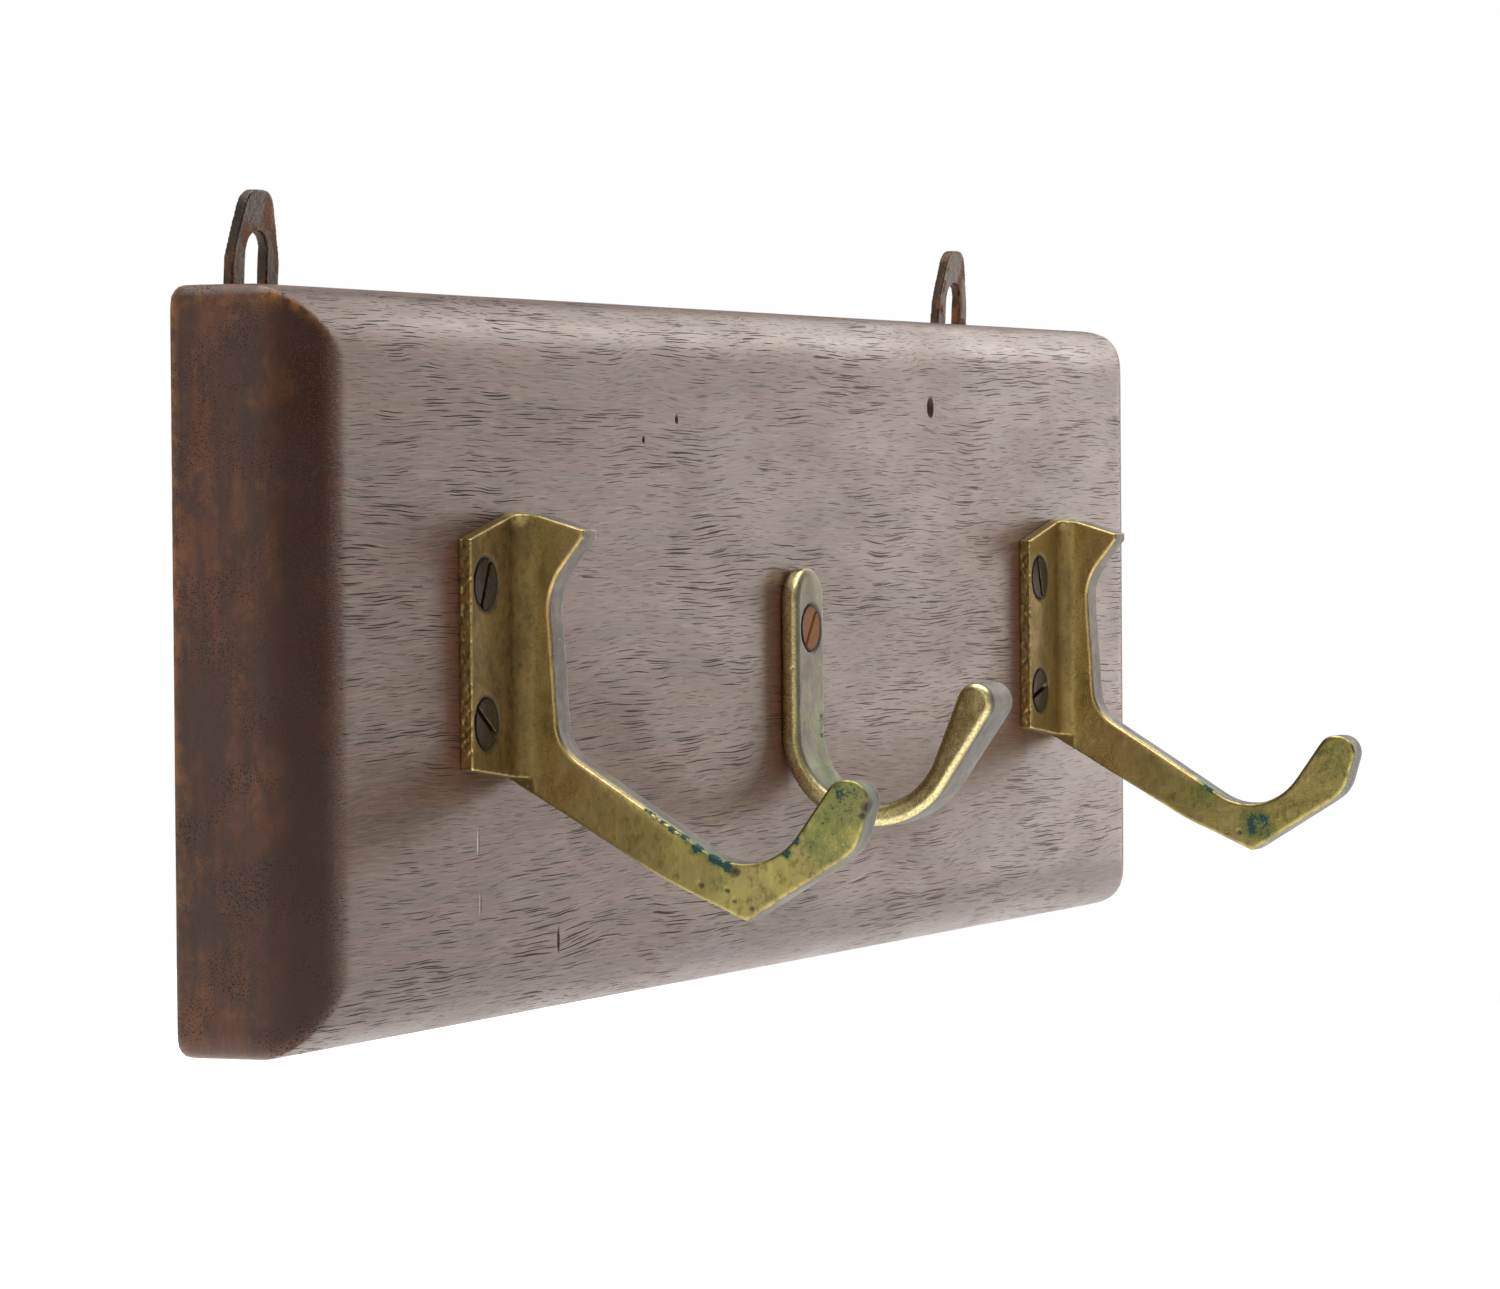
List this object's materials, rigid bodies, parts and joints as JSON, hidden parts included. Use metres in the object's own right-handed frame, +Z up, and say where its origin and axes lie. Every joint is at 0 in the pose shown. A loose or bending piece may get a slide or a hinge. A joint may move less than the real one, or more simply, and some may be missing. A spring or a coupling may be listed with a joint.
{
  "type": "wall coat hook rail",
  "caption": "Varnished wooden wall board with brass angle hooks at its ends, a smaller brass strap hook between them, and iron hanger plates let into its back.",
  "frame": {"origin": "middle of the board's back face, which lies on the wall", "axes": "+X along the board from its left end to its right end as seen from the room, +Y into the wall, +Z up; the hooks stand out along -Y"},
  "size_m": [0.31, 0.0735, 0.113],
  "materials": {
    "board_wood": "worn satin varnish",
    "hook_brass": "aged, bright on the edges",
    "centre_hook_brass": "aged, with verdigris",
    "hanger_iron": "dull with rust",
    "screw_steel": "tarnished",
    "rusty_screw": "rusty"
  },
  "bodies": {
    "root": {"backboard": "board_wood", "left_hook": "hook_brass", "right_hook": "hook_brass", "centre_hook": "centre_hook_brass", "left_hook_upper_screw": "screw_steel", "left_hook_lower_screw": "screw_steel", "right_hook_upper_screw": "screw_steel", "right_hook_lower_screw": "screw_steel", "centre_hook_screw": "rusty_screw", "left_hanger_plate": "hanger_iron", "right_hanger_plate": "hanger_iron", "left_hanger_upper_screw": "screw_steel", "left_hanger_lower_screw": "screw_steel", "right_hanger_upper_screw": "screw_steel", "right_hanger_lower_screw": "screw_steel"}
  },
  "joints": []
}
